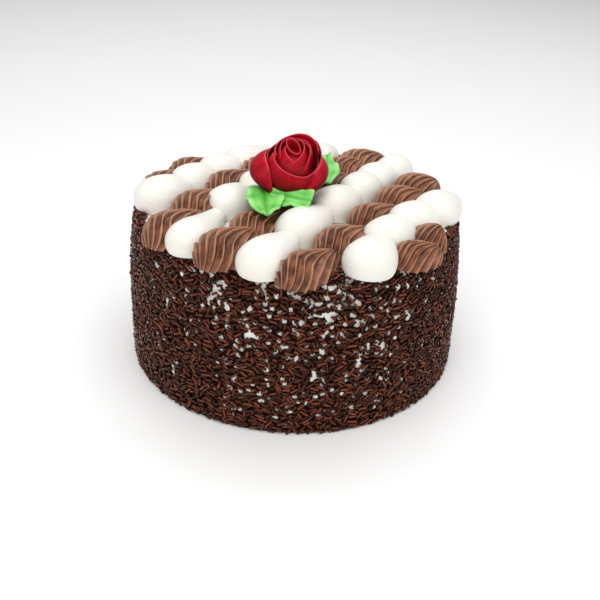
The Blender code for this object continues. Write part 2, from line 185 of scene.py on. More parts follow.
# Each kind of shell: "below" is how much of the ball stays below its middle, "waist" how wide it is
# behind the head, "head" the head's length, "blunt" under 1 for a flatter top, "full" 1 for a
# fuller tail, and "foot" how far the foot spreads. A ripple has its grain size and height.
KINDS = {
    "white": {
        "half_width": 13.9 * MM, "nose": 13.9 * MM, "tail": 30 * MM, "height": 16.5 * MM,
        "below": 0.36, "waist": 0.56, "head": 21 * MM, "blunt": 1.0, "full": 0, "foot": 0,
        "ripples": ((18 * MM, 0.8 * MM),),
    },
    "choc": {
        "half_width": 13.6 * MM, "nose": 13.4 * MM, "tail": 32 * MM, "height": 15.4 * MM,
        "below": 0.16, "waist": 0.5, "head": 20 * MM, "blunt": 0.9, "full": 1, "foot": 0.04,
        "ripples": ((18 * MM, 1.1 * MM), (5 * MM, 0.5 * MM)),
    },
}
# How soon the spread of the foot fades upwards.
FOOT_FADE = 2.5

# Where the rose stands, and how far it leans to the front. It is in mm and degrees from its foot.
ROSE_PLACE = (-5 * MM, -21 * MM, HEIGHT + 11.5 * MM)
ROSE_LEAN = math.radians(12)
# Each petal: where its middle points and its half span, the height and radius of its foot and of
# its rim, how far it bulges and how high up that is, how high its ends reach as a share of its
# middle, how broad its crown is, its curl, and how far its rim stands to the right.
PETALS = (
    (168, 122, 14, 12.4, 33.4, 5.0, 1.5, 1, 0.70, 2.5, 0.15, 2.6),
    (12, 112, 14, 12.7, 34.0, 5.9, 1.5, 1, 0.72, 2.5, 0.2, 2.8),
    (35, 92, 13, 12.6, 32.6, 8.0, 1.3, 1, 0.55, 3, 0.2, 3.6),
    (100, 104, 12, 12.6, 33.4, 8.4, 1.6, 1, 0.8, 4, 0.2, 3.6),
    (104, 98, 8, 12.6, 33.4, 12.2, 1.6, 1, 0.92, 3, 0.4, 4.8),
    (-65, 112, 7.0, 11.0, 23.6, 12.8, 3.3, 1, 1.46, 1.15, 0.4, 4.8),
    (136, 66, 5, 12.4, 28.6, 13.8, 3.0, 1, 0.4, 3, 0.3, 1.2),
    (45, 60, 5, 12.4, 29.0, 14.4, 2.4, 1, 0.3, 3, 0.5, 3.0),
    (172, 64, 9, 15.6, 27.0, 13.6, 8.8, 1.1, 0.06, 5, 0.2, 0.6),
    (2, 70, 6, 12.0, 27.0, 15.8, 7.8, 1, 0.08, 2.4, 0.4, 2.4),
    (-8, 78, 6, 11.8, 21.5, 14.8, 6.0, 1, 0.08, 2.2, 0.4, 2.0),
)
PETAL_COLUMNS = 30
PETAL_ROWS = 12
# Waves across a petal and their height, and powers for how the bulge fades and the curl sets in.
PETAL_WAVES = 5
PETAL_WAVE = 0.35
BULGE_FADE = 2.5
CURL_POWER = 10
# How far the rims rise to the back. Wider petals do it less, and none past this radius.
RIM_TILT = 0.35
TILT_NONE_AT = 22
# The innermost wrap: its place, radius and rim, its depth, and how it is slanted and tilted.
EYE = (2.4, 0.3, 3.8, 34.4)
EYE_DEPTH = 18
EYE_CUTS = 8
EYE_SLANT = 0.4
EYE_STRETCH = 1.08
EYE_TILT = (0.2, 0.55)
# The heart that closes the rose inside.
HEART_RADIUS = 11.8 * MM
HEART_PLACE = (2.2 * MM, 0, 18.5 * MM)
HEART_LEAN = 0.3
# The heart's colour is that of a petal partway up, half in painted shade.
HEART_RISE = 0.7

# Leaves: foot, tip and half width, how high foot and tip lie over the drum, how far the edges are
# raised, the height of the waves, how many there are, how far one side is raised, and how wide the
# tip stays. Lengths are in mm.
LEAVES = {
    "leaf_front_left": ((-20, -25), (-15, -63), 10.8, 20.0, 17.8, 0.8, 1.2, 2.3, 0, 0.15),
    "leaf_front_right": ((-15, -36), (8.6, -46), 7.2, 20.6, 19.8, 0.6, 1.0, 2.2, 3.4, 0.6),
    "leaf_back_right": ((16, -14), (19, 36), 8.5, 19.5, 20.0, 0.5, 1.3, 2.5, 0, 0.05),
}
LEAF_COLUMNS = 34
LEAF_STRIPS = 14
# How full a leaf starts, its width at the foot, and the depth, number and slant of its ruffles.
LEAF_START = 0.12
LEAF_FOOT_WIDTH = 0.25
RUFFLES = (0.05, 23, 2)
# Grooves along each leaf: how far from the middle, how deep in mm and how wide.
LEAF_GROOVES = ((0, 0.7, 0.14), (0.55, 0.35, 0.09))
# How much painted highlight the ripple crests get, and painted shade their troughs.
RIPPLE_LIGHT_AND_SHADE = 0.6

# The camera, fitted to the outline of the cake.
CAMERA_PLACE = (4.4 * MM, -413.4 * MM, 265.4 * MM)
LOOKS_DOWN = math.radians(30.02)
CAMERA_ROLL = math.radians(2.23)
LENS = 42
CLIP_START, CLIP_END = 0.01, 20

FLOOR_SIDES = 96
FLOOR_RADIUS = 3
FLOOR_INSET = 1.2
FLOOR_GAP = 0.1 * MM
# Each light: its place, what it shines on, its size, power and colour.
WHITE = (1.0, 1.0, 1.0)
LIGHTS = {
    "key": ((-0.25, -0.9, 1.15), (0, 0, 0.08), 0.8, 6.9, (1.0, 0.985, 0.96)),
    "top": ((0.1, 0.0, 1.3), (0, 0, 0.08), 1.2, 7.2, WHITE),
    "fill": ((0.9, -0.9, 0.6), (0, 0, 0.06), 1.0, 3.5, WHITE),
    "left fill": ((-1.1, -0.5, 0.6), (0, 0, 0.08), 1.0, 2.0, WHITE),
    "floor light": ((0, 1.4, 1.5), (0, 1.5, 0), 2.0, 10.5, WHITE),
}
SKY_STRENGTH = 0.42


# ---- settings


def length_property(name, description, default):
    return FloatProperty(name=name, description=description, default=default, unit="LENGTH")


def colour_property(name, description, default):
    return FloatVectorProperty(
        name=name, description=description, default=default, subtype="COLOR", size=3, min=0, max=1
    )


class CakeSizes(bpy.types.PropertyGroup):
    """Sizes of the icing, sprinkles, ribs, petals and leaves"""

    icing_inset: length_property("Icing inset", "Depth of the icing under the side", 2.2 * MM)
    sprinkle_length: length_property("Sprinkle length", "Mean length of one sprinkle", 4.1 * MM)
    sprinkle_radius: length_property("Sprinkle radius", "Radius of one sprinkle", 0.78 * MM)
    sprinkle_spacing: length_property(
        "Sprinkle spacing",
        "Least distance between the middle lines of two sprinkles of one layer",
        1.32 * MM,
    )
    bare_spots: IntProperty(
        name="Bare spots", description="How many small gaps show the white icing", default=800
    )
    ribs: IntProperty(name="Ribs", description="Ribs round one chocolate shell", default=15)
    rib_depth: FloatProperty(
        name="Rib depth",
        description="Depth of the grooves between ribs, as a share of the shell's radius",
        default=0.24,
        subtype="FACTOR",
    )
    petal_thickness: length_property("Petal thickness", "Thickness of a rose petal", 0.7 * MM)
    leaf_thickness: length_property("Leaf thickness", "Thickness of a piped leaf", 1.5 * MM)


class CakeColours(bpy.types.PropertyGroup):
    """Colours of the icing, sprinkles, rose and leaves"""

    white_icing: colour_property("White icing", "Smooth shells and drum", (0.855, 0.847, 0.81))
    white_shade: colour_property("White shade", "Creamier patches of it", (0.83, 0.80, 0.72))
    chocolate: colour_property("Chocolate", "Icing of the ribbed shells", (0.35, 0.14, 0.072))
    # Dark chocolate patches, and painted shade in the folds beside the ribs.
    chocolate_dark_and_fold_shade: colour_property("Chocolate folds", "Beside the ribs", (0.07, 0.021, 0.009))
    # Painted highlight on the crests of the ribs.
    chocolate_crest_highlight: colour_property("Chocolate crests", "Sharp ribs", (0.49, 0.255, 0.155))
    # Darkest sprinkles, painted shade on their inner sides, and painted shade of the crevices on
    # the icing.
    sprinkle_dark_and_shade: colour_property("Dark sprinkles", "Darkest sprinkles", (0.019, 0.005, 0.0028))
    sprinkle_light: colour_property("Light sprinkles", "Lightest sprinkles", (0.215, 0.061, 0.031))
    rose: colour_property("Rose", "Petals of the rose", (0.63, 0.0035, 0.020))
    # Painted shade at the foot of the petals, also the colour of the deep red patches.
    rose_deep_and_shade: colour_property("Rose shade", "Petals near their foot", (0.10, 0.0004, 0.003))
    # Painted highlight along the thin rims of the petals.
    rose_rim_highlight: colour_property("Rose rim", "Thin rims of the petals", (0.58, 0.05, 0.075))
    leaf: colour_property("Leaf", "Piped leaves", (0.175, 0.62, 0.108))
    # Painted shade in the grooves along the leaves.
    leaf_groove_shade: colour_property("Leaf grooves", "Grooves along the leaves", (0.035, 0.30, 0.02))
    # Painted highlight along the edges and crests of the leaves.
    leaf_highlight: colour_property("Pale leaf", "Edges and crests of the leaves", (0.32, 0.76, 0.25))


def sizes():
    return bpy.context.scene.cake_sizes


def colours():
    return bpy.context.scene.cake_colours


# ---- modelling helpers


def edit_mode():
    bpy.ops.object.mode_set(mode="EDIT")


def object_mode():
    bpy.ops.object.mode_set(mode="OBJECT")


def deselect_all():
    if bpy.context.mode != "OBJECT":
        object_mode()
    bpy.ops.object.select_all(action="DESELECT")


def take(piece):
    """Makes this piece the only selected and the active one."""
    deselect_all()
    piece.select_set(True)
    bpy.context.view_layer.objects.active = piece


def added(name):
    """Names the object just added, and its mesh."""
    piece = bpy.context.active_object
    piece.name = name
    piece.data.name = name
    return piece


def choose(piece, part, wanted):
    """In edit mode, selects only the verts, edges or faces that pass the test."""
    bpy.ops.mesh.select_mode(type={"verts": "VERT", "edges": "EDGE", "faces": "FACE"}[part])
    bpy.ops.mesh.select_all(action="DESELECT")
    shape = bmesh.from_edit_mesh(piece.data)
    for item in getattr(shape, part):
        if wanted(item):
            item.select_set(True)
    bmesh.update_edit_mesh(piece.data)


def points_of(piece):
    points = np.empty(len(piece.data.vertices) * 3)
    piece.data.vertices.foreach_get("co", points)
    return points.reshape(-1, 3)


def set_points(piece, points):
    piece.data.vertices.foreach_set("co", np.ascontiguousarray(points, np.float32).ravel())
    piece.data.update()


def set_values(piece, name, values):
    """Stores one number for each vertex, for the material to read."""
    attribute = piece.data.attributes.new(name, "FLOAT", "POINT")
    attribute.data.foreach_set("value", np.ascontiguousarray(values, np.float32))


def apply_modifiers(piece):
    take(piece)
    for modifier in list(piece.modifiers):
        bpy.ops.object.modifier_apply(modifier=modifier.name)


def thicken(piece, thickness, offset):
    """Gives a sheet its thickness and rounds its edges off."""
    thick = piece.modifiers.new("thickness", "SOLIDIFY")
    thick.thickness = thickness
    thick.offset = offset
    round_off = piece.modifiers.new("round", "SUBSURF")
    round_off.levels = 1
    round_off.render_levels = 1


def ripple(piece, size, height):
    """Makes the surface a little uneven with a cloud of this grain size."""
    cloud = bpy.data.textures.new(piece.name + "_ripple", "CLOUDS")
    cloud.noise_scale = size
    cloud.noise_depth = 1
    wave = piece.modifiers.new("ripple", "DISPLACE")
    wave.texture = cloud
    wave.texture_coords = "LOCAL"
    wave.strength = height


def finish_piece(piece, material, slot, *nodes):
    """Applies what is left, shades the piece, and hangs it on the frame."""
    apply_modifiers(piece)
    bpy.ops.object.transform_apply()
    bpy.ops.object.shade_smooth()
    piece.data.materials.clear()
    piece.data.materials.append(material)
    if not piece.data.polygons:
        raise RuntimeError(piece.name + " has no faces")
    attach(piece, "root")
    if nodes:
        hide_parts(*nodes)
    deselect_all()


def copy_of(master, name):
    piece = master.copy()
    piece.data = master.data.copy()
    piece.name = name
    piece.data.name = name
    bpy.context.scene.collection.objects.link(piece)
    return piece


def remove(piece):
    mesh = piece.data
    bpy.data.objects.remove(piece)
    bpy.data.meshes.remove(mesh)


def join(name, pieces):
    """Joins the pieces into one, in their order."""
    take(pieces[0])
    for piece in pieces:
        piece.select_set(True)
    bpy.ops.object.join()
    return added(name)


# ---- materials


def uneven_group():
    """A node group that puts out a soft tone, and a height for a bump."""
    group = bpy.data.node_groups.get("uneven_surface")
    if group:
        return group
    group = bpy.data.node_groups.new("uneven_surface", "ShaderNodeTree")
    for way, names in (
        ("INPUT", ("Patch Scale", "Grain Scale", "Grain Share")),
        ("OUTPUT", ("Tone", "Height")),
    ):
        for name in names:
            group.interface.new_socket(name, in_out=way, socket_type="NodeSocketFloat")
    nodes, links = group.nodes, group.links
    given = nodes.new("NodeGroupInput")
    result = nodes.new("NodeGroupOutput")
    place = nodes.new("ShaderNodeTexCoord")
    patch = nodes.new("ShaderNodeTexNoise")
    patch.inputs["Detail"].default_value = 3
    grain = nodes.new("ShaderNodeTexNoise")
    grain.inputs["Detail"].default_value = 5
    grain.inputs["Roughness"].default_value = 0.6
    for noise, scale in ((patch, "Patch Scale"), (grain, "Grain Scale")):
        links.new(place.outputs["Object"], noise.inputs["Vector"])
        links.new(given.outputs[scale], noise.inputs["Scale"])
    spread = nodes.new("ShaderNodeMapRange")
    spread.inputs["From Min"].default_value = 0.3
    spread.inputs["From Max"].default_value = 0.7
    links.new(patch.outputs["Fac"], spread.inputs["Value"])
    links.new(spread.outputs["Result"], result.inputs["Tone"])
    both = nodes.new("ShaderNodeMix")
    both.data_type = "FLOAT"
    links.new(given.outputs["Grain Share"], both.inputs["Factor"])
    links.new(patch.outputs["Fac"], both.inputs["A"])
    links.new(grain.outputs["Fac"], both.inputs["B"])
    links.new(both.outputs["Result"], result.inputs["Height"])
    return group


class Finish:
    """A material being built: its nodes, its shader and its uneven surface.

    patch and grain are the scales of its soft and fine unevenness, and share is how much of its
    bump is grain."""

    def __init__(self, name, roughness, patch, grain, share):
        self.material = bpy.data.materials.new(name)
        self.material.use_nodes = True
        self.nodes = self.material.node_tree.nodes
        self.links = self.material.node_tree.links
        self.shader = self.nodes["Principled BSDF"]
        self.shader.inputs["Roughness"].default_value = roughness
        self.uneven = self.nodes.new("ShaderNodeGroup")
        self.uneven.node_tree = uneven_group()
        self.uneven.inputs["Patch Scale"].default_value = patch
        self.uneven.inputs["Grain Scale"].default_value = grain
        self.uneven.inputs["Grain Share"].default_value = share

    def set(self, **values):
        """Sets constants on the shader's own sockets."""
        for name, value in values.items():
            self.shader.inputs[name.replace("_", " ")].default_value = value

    def value(self, attribute):
        """The numbers stored on the vertices under this name."""
        node = self.nodes.new("ShaderNodeAttribute")
        node.attribute_name = attribute
        return node.outputs["Fac"]

    def stretch(self, source, low, high):
        """0 where the source is low or less, 1 where it is high or more."""
        node = self.nodes.new("ShaderNodeMapRange")
        node.inputs["From Min"].default_value = low
        node.inputs["From Max"].default_value = high
        self.links.new(source, node.inputs["Value"])
        return node.outputs["Result"]

    def patches(self, full):
        """Soft patches from 0 to 1 / full."""
        return self.stretch(self.uneven.outputs["Tone"], 0, full)

    def mix(self, factor, first, second):
        """A colour between first and second, each a colour or a socket."""
        node = self.nodes.new("ShaderNodeMix")
        node.data_type = "RGBA"
        self.links.new(factor, node.inputs["Factor"])
        for name, given in (("A", first), ("B", second)):
            socket = next(s for s in node.inputs if s.name == name and s.type == "RGBA")
            if isinstance(given, bpy.types.NodeSocket):
                self.links.new(given, socket)
            else:
                socket.default_value = (*given, 1)
        return next(s for s in node.outputs if s.type == "RGBA")

    def colour(self, source):
        self.links.new(source, self.shader.inputs["Base Color"])

    def bump(self, distance):
        node = self.nodes.new("ShaderNodeBump")
        node.inputs["Distance"].default_value = distance
        self.links.new(self.uneven.outputs["Height"], node.inputs["Height"])
        self.links.new(node.outputs["Normal"], self.shader.inputs["Normal"])


def soften(finish, weight, depth):
    """Lets light into the icing, to this depth."""
    finish.set(Subsurface_Weight=weight, Subsurface_Scale=depth)
    finish.shader.inputs["Subsurface Radius"].default_value = (1.0, 0.8, 0.6)


def white_icing():
    finish = Finish("white_icing", roughness=0.42, patch=70, grain=900, share=0.25)
    tone = finish.uneven.outputs["Tone"]
    finish.colour(finish.mix(tone, colours().white_shade, colours().white_icing))
    finish.bump(0.25 * MM)
    soften(finish, 0.25, 2.5 * MM)
    return finish.material


def drum_icing():
    """White icing, with painted shade of the crevices wherever the sprinkles lie close."""
    finish = Finish("drum_icing", roughness=0.5, patch=170, grain=700, share=0.4)
    tone = finish.uneven.outputs["Tone"]
    white = finish.mix(tone, colours().white_shade, colours().white_icing)
    # Off the bare spots the icing takes the dark sprinkle colour, as painted shade of the crevices.
    outside_crevice_shade = finish.stretch(finish.value("bare"), 0.4, 0.55)
    finish.colour(finish.mix(outside_crevice_shade, colours().sprinkle_dark_and_shade, white))
    finish.bump(0.5 * MM)
    finish.set(Specular_IOR_Level=0.05)
    return finish.material


def chocolate_icing():
    """Brown in uneven patches, with painted shade in the folds and a painted highlight on the
    crests.
    """
    finish = Finish("chocolate_icing", roughness=0.34, patch=160, grain=1100, share=0.45)
    dark_and_shade = colours().chocolate_dark_and_fold_shade
    body = finish.mix(finish.uneven.outputs["Tone"], dark_and_shade, colours().chocolate)
    crest = finish.value("crest")
    raised = finish.mix(finish.stretch(crest, 0, 0.5), dark_and_shade, body)
    finish.colour(finish.mix(finish.stretch(crest, 0.5, 0.95), raised, colours().chocolate_crest_highlight))
    finish.bump(0.35 * MM)
    finish.set(Specular_IOR_Level=0.28)
    return finish.material


def sprinkle_chocolate():
    finish = Finish("chocolate_sprinkles", roughness=0.18, patch=500, grain=2500, share=0.5)
    # The tone holds each sprinkle's random tone and painted shade on its inner side and on the
    # lower layer.
    tone = finish.stretch(finish.value("tone"), 0, 1)
    finish.colour(finish.mix(tone, colours().sprinkle_dark_and_shade, colours().sprinkle_light))
    finish.bump(0.06 * MM)
    finish.set(Specular_IOR_Level=0.28, Specular_Tint=(1.0, 0.66, 0.54, 1.0))
    return finish.material


def rose_icing():
    """Painted shade at the foot of each petal, red above it with deep red patches, and a painted
    highlight along its rim.
    """
    finish = Finish("red_icing", roughness=0.42, patch=180, grain=900, share=0.35)
    deep = colours().rose_deep_and_shade
    rise = finish.value("rise")
    body = finish.mix(finish.stretch(rise, 0.4, 1), deep, colours().rose)
    mottled = finish.mix(finish.patches(1.7), body, deep)
    finish.colour(finish.mix(finish.stretch(rise, 0.955, 1), mottled, colours().rose_rim_highlight))
    finish.bump(0.3 * MM)
    finish.set(Specular_IOR_Level=0.14)
    return finish.material


def leaf_icing():
    """A painted highlight along the edges and the crests, and painted shade in the grooves."""
    finish = Finish("green_icing", roughness=0.34, patch=200, grain=900, share=0.3)
    # The stored edge value carries painted highlight above 0 and painted shade below 0.
    edge = finish.value("edge")
    body = finish.mix(finish.stretch(edge, 0, 1), colours().leaf, colours().leaf_highlight)
    mottled = finish.mix(finish.patches(2.5), body, colours().leaf)
    finish.colour(finish.mix(finish.stretch(edge, -0.9, 0), colours().leaf_groove_shade, mottled))
    finish.bump(0.35 * MM)
    soften(finish, 0.12, 1.5 * MM)
    return finish.material


def floor_finish():
    finish = Finish("pale_floor", roughness=0.6, patch=3, grain=40, share=0.3)
    tone = finish.uneven.outputs["Tone"]
    finish.colour(finish.mix(tone, (0.93, 0.93, 0.93), (0.95, 0.95, 0.95)))
    return finish.material


# ---- drum and sprinkles


def frontness(around):
    """1 where the sprinkles lie thinnest, towards the front, and 0 at the back."""
    away = (around - THIN_COAT_AT + math.pi) % math.tau - math.pi
    return np.exp(-((away / THIN_COAT_SPREAD) ** 2))


def side_radius(level, inset):
    """The radius of the side at this level, a little fuller halfway up and drawn in at the rim."""
    share = np.clip(level / HEIGHT, 0, 1)
    straight = BASE_RADIUS + (TOP_RADIUS - BASE_RADIUS) * share
    return straight + SIDE_BULGE * np.sin(math.pi * share) - RIM_DRAWN_IN * share**4 - inset


def runs_up(edge):
    """Whether this edge of an upright cylinder joins its ends."""
    return abs(edge.verts[0].co.z - edge.verts[1].co.z) > MM


def model_iced_drum():
    inset = sizes().icing_inset
    deselect_all()
    bpy.ops.mesh.primitive_cylinder_add(
        vertices=DRUM_FACETS, radius=BASE_RADIUS - inset, depth=HEIGHT, location=(0, 0, HEIGHT / 2)
    )
    drum = added("iced_drum")
    edit_mode()
    choose(drum, "faces", lambda face: face.normal.z > 0.9)
    narrowing = (TOP_RADIUS - inset) / (BASE_RADIUS - inset)
    bpy.ops.transform.resize(value=(narrowing, narrowing, 1))
    choose(drum, "edges", runs_up)
    bpy.ops.mesh.subdivide(number_cuts=SIDE_CUTS)
    choose(drum, "edges", lambda edge: all(v.co.z > HEIGHT / 2 - MM for v in edge.verts))
    bpy.ops.mesh.bevel(offset=RIM_ROUNDING, segments=RIM_SEGMENTS, profile=0.5)
    choose(drum, "faces", lambda face: face.normal.z > 0.99)
    for _ in range(TOP_RINGS):
        bpy.ops.mesh.inset(thickness=TOP_RING_STEP)
    object_mode()
    bpy.ops.object.transform_apply()
    points = points_of(drum)
    share = points[:, 2:] / HEIGHT
    straight = BASE_RADIUS + (TOP_RADIUS - BASE_RADIUS) * share - inset
    points[:, :2] *= side_radius(points[:, 2:], inset) / straight
    set_points(drum, points)
    # Where this falls below 0, the drum's material paints the shade of the crevices between the
    # sprinkles.
    set_values(drum, "bare", bareness(points))
    ripple(drum, *ICING_RIPPLE)
    apply_modifiers(drum)
    points = points_of(drum)
    points[:, 2] = np.where(points[:, 2] < MM, 0, points[:, 2])
    set_points(drum, points)
    finish_piece(drum, drum_icing(), "white_icing", "cake_drum")


def bareness(points):
    """1 on the top and in the middle of a bare spot, falling through 0 at BARE_REACH from it."""
    x, y, level = points.T
    around = np.arctan2(y, x)
    nearest = np.full(len(points), np.inf)
    for u, v in bare_spots():
        nearest = np.minimum(nearest, np.hypot(around * BASE_RADIUS - u, level - v))
    on_top = (np.hypot(x, y) < TOP_RADIUS - BARE_TOP_EDGE) & (level > HEIGHT - MM)
    return np.where(on_top, 1, 1 - nearest / BARE_REACH)


def model_sprinkle():
    """The points and faces of one rod along X with rounded ends."""
    deselect_all()
    bpy.ops.mesh.primitive_cylinder_add(
        vertices=SPRINKLE_SIDES,
        radius=sizes().sprinkle_radius,
        depth=sizes().sprinkle_length,
        rotation=(0, math.pi / 2, 0),
    )
    sprinkle = added("sprinkle")
    bpy.ops.object.transform_apply(location=False, rotation=True, scale=False)
    edit_mode()
    for way in (-1, 1):
        choose(sprinkle, "faces", lambda face, way=way: face.normal.x * way > 0.9)
        move = {"value": (way * TIP_LENGTH, 0, 0)}
        bpy.ops.mesh.extrude_region_move(TRANSFORM_OT_translate=move)
        bpy.ops.transform.resize(value=(1, TIP_SHARE, TIP_SHARE))
    object_mode()
    points = points_of(sprinkle)
    faces = [tuple(face.vertices) for face in sprinkle.data.polygons]
    remove(sprinkle)
    return points, faces


def bare_spots():
    """Places on the unrolled side where the white icing shows between the sprinkles."""
    draw = random.Random(SEED)
    spots = []
    while len(spots) < sizes().bare_spots:
        around = draw.uniform(-math.pi, math.pi)
        level = draw.uniform(*SPOT_LEVELS_MM) * MM
        high = min(1, max(SPOT_CHANCE_LOW, level / SPOTS_FULL_FROM))
        if draw.random() > SPOT_CHANCE_BEHIND + (1 - SPOT_CHANCE_BEHIND) * frontness(around) * high:
            continue
        u, way = around * BASE_RADIUS, draw.uniform(0, math.tau)
        for step in range(draw.choice(SPOT_POINTS)):
            reach = step * SPOT_STEP
            spots.append((u + reach * math.cos(way), level + reach * math.sin(way)))
    for start, start_level, end, end_level in BARE_STREAKS:
        for share in np.linspace(0, 1, STREAK_POINTS):
            around = math.radians(start + (end - start) * share)
            level = (start_level + (end_level - start_level) * share) * MM
            spots.append((around * BASE_RADIUS, level))
    return spots


def crowded(cells, spots, spacing):
    """Whether something already laid comes nearer than the spacing to one of these spots."""
    for u, v in spots:
        column, line = int(u // spacing), int(v // spacing)
        for near in ((column + i, line + j) for i in (-1, 0, 1) for j in (-1, 0, 1)):
            for other_u, other_v in cells.get(near, ()):
                if math.hypot(other_u - u, other_v - v) < spacing:
                    return True
    return False


def occupy(cells, spots, spacing):
    """Files these spots under the square cells of the unrolled side that they lie in."""
    for u, v in spots:
        cells.setdefault((int(u // spacing), int(v // spacing)), []).append((u, v))


def coat_profile(run):
    """The icing this far up the side, round the rim and over the top.

    Returns its radius, its level and the angle of its outward normal above the horizontal."""
    inset = sizes().icing_inset
    slope = math.atan2(BASE_RADIUS - TOP_RADIUS, HEIGHT)
    side = HEIGHT - RIM_ROUNDING
    bend = np.clip((run - side) / RIM_ROUNDING, 0, math.pi / 2)
    beyond = np.clip(run - side - RIM_ROUNDING * math.pi / 2, 0, None)
    level = np.minimum(run, side)
    radius = side_radius(level, inset) - RIM_ROUNDING * (1 - np.cos(bend)) - beyond
    return radius, level + RIM_ROUNDING * np.sin(bend), slope + bend * (1 - 2 * slope / math.pi)


def lay_sprinkles():
    """Lays two layers of sprinkles, each beside the ones before it, off the bare spots.

    Each row of the result: around, level, how far out, turn, tilt, length and tone, the last with
    painted shade on the lower layer."""
    draw = random.Random(SEED)
    spacing = sizes().sprinkle_spacing
    laid = []
    for out, share, clearance, tries, layer_light in LAYERS:
        cells, kept_bare = {}, {}
        occupy(kept_bare, bare_spots(), spacing * clearance)
        for _ in range(tries):
            around = draw.uniform(-math.pi, math.pi)
            level = draw.uniform(COAT_FROM, HEIGHT + draw.random() ** 2 * COAT_OVER_RIM)
            if draw.random() < LEVEL_CHANCE:
                turn = draw.gauss(0, LEVEL_SPREAD)
            else:
                turn = draw.uniform(0, math.pi)
            length = draw.uniform(*LENGTH_SHARES)
            if length * abs(math.sin(turn)) * sizes().sprinkle_length / 2 > level:
                turn = 0
            u = around * BASE_RADIUS
            line = [part * length * sizes().sprinkle_length for part in KEPT_CLEAR]
            line = [(u + part * math.cos(turn), level + part * math.sin(turn)) for part in line]
            if crowded(kept_bare, line, spacing * clearance):
                continue
            if crowded(cells, line, spacing * share):
                continue
            occupy(cells, line, spacing * share)
            tilt = draw.gauss(0, FLAT_SPREAD if draw.random() < FLAT_CHANCE else LOOSE_SPREAD)
            height = out + draw.uniform(-OUTWARD_SPREAD_MM, OUTWARD_SPREAD_MM) * MM
            laid.append((around, level, height, turn, tilt, length, draw.random() * layer_light))
    return np.array(laid)


def place_sprinkles(laid, points):
    """Every vertex of every sprinkle of the side."""
    around, level, out, turn, tilt, length, _ = laid.T
    flat = np.stack([np.cos(around), np.sin(around), np.zeros_like(around)], 1)
    east = np.stack([-np.sin(around), np.cos(around), np.zeros_like(around)], 1)
    up = np.array([0, 0, 1])
    radius, height, lean = coat_profile(level)
    north = up * np.cos(lean)[:, None] - flat * np.sin(lean)[:, None]
    normal = flat * np.cos(lean)[:, None] + up * np.sin(lean)[:, None]
    heading = east * np.cos(turn)[:, None] + north * np.sin(turn)[:, None]
    aside = np.cross(normal, heading)
    heading = heading * np.cos(tilt)[:, None] + normal * np.sin(tilt)[:, None]
    upward = np.cross(heading, aside)
    middle = flat * radius[:, None] + up * height[:, None] + normal * out[:, None]
    x, y, z = points.T[:, None, :, None]
    placed = (
        middle[:, None, :]
        + heading[:, None, :] * (x * length[:, None, None])
        + aside[:, None, :] * y
        + upward[:, None, :] * z
    )
    placed[..., 2] = np.maximum(placed[..., 2], COAT_FOOT)
    return placed


def build_coat(name, placed, faces, tones_and_shade, material):
    """One mesh of all these sprinkles."""
    count, corners, _ = placed.shape
    mesh = bpy.data.meshes.new(name)
    starts = range(0, count * corners, corners)
    all_faces = [tuple(start + i for i in face) for start in starts for face in faces]
    mesh.from_pydata(placed.reshape(-1, 3), [], all_faces)
    coat = bpy.data.objects.new(name, mesh)
    bpy.context.scene.collection.objects.link(coat)
    set_values(coat, "tone", tones_and_shade)
    finish_piece(coat, material, "sprinkled_icing")


def model_sprinkles():
    points, faces = model_sprinkle()
    laid = lay_sprinkles()
    placed = place_sprinkles(laid, points)
    outward = np.clip(points[:, 2] / sizes().sprinkle_radius, 0, 1)
    # Each sprinkle's random tone, darkened towards its inner side as painted shade.
    tones_and_shade = laid[:, 6, None] ** TONE_POWER * (INNER_SIDE_LIGHT + (1 - INNER_SIDE_LIGHT) * outward)
    material = sprinkle_chocolate()
    quarter = np.floor((laid[:, 0] + math.pi) / (math.pi / 2)).astype(int) % 4
    for number, name in enumerate(("back_left", "front_left", "front_right", "back_right")):
        mine = quarter == number
        build_coat("sprinkles_" + name, placed[mine], faces, tones_and_shade[mine].ravel(), material)


# ---- shells


def unevenness(number, channel):
    """A repeatable value from -1 to 1, which makes no two shells quite alike."""
    return math.sin(number * NUMBER_STEP + channel * CHANNEL_STEP)


def lay_out_shells():
    """Each shell's name, kind, place, tail, turn, size and droop."""
    shells = []
    for row, kind, heads in ROWS:
        line = []
        for place_in_row, (along, across) in enumerate(heads, 1):
            number = len(shells) + len(line)
            name = f"{kind}_shell_{row}{place_in_row}"
            x = (along * math.cos(ROW_ANGLE) + across * math.sin(ROW_ANGLE)) * MM
            y = (along * math.sin(ROW_ANGLE) - across * math.cos(ROW_ANGLE)) * MM
            share = (x + TOP_RADIUS) / (2 * TOP_RADIUS)
            swing = STEADY_SWING * share + LATE_SWING * share**LATE_SWING_POWER
            swing *= WHITE_SWING_SHARE if kind == "white" else 1
            shell = {"name": name, "kind": kind, "x": x, "y": y, "tail": KINDS[kind]["tail"]}
            shell["turn"] = ROW_ANGLE - swing + SHELL_TURN * unevenness(number, 1)
            shell["size"] = SIZES.get(name, 1) * (1 + SHELL_UNEVENNESS * unevenness(number, 2))
            shell["droop"] = RIM_DROOP if math.hypot(x, y) > DROOP_FROM else 0
            line.append(shell)
        for first, second in zip(line, line[1:]):
            step_x, step_y = second["x"] - first["x"], second["y"] - first["y"]
            first["tail"] = math.hypot(step_x, step_y) * TAIL_TO_NEXT_HEAD
            if kind == "white":
                first["turn"] = math.atan2(step_y, step_x) + WHITE_PAST_NEXT_HEAD
        last = line[-1]
        last["tail"] *= LAST_TAIL_STRETCH
        tip_x = last["x"] + last["tail"] * math.cos(last["turn"])
        tip_y = last["y"] + last["tail"] * math.sin(last["turn"])
        last["tail"] -= max(0, math.hypot(tip_x, tip_y) - LAST_TAIL_END)
        shells += line
    return shells


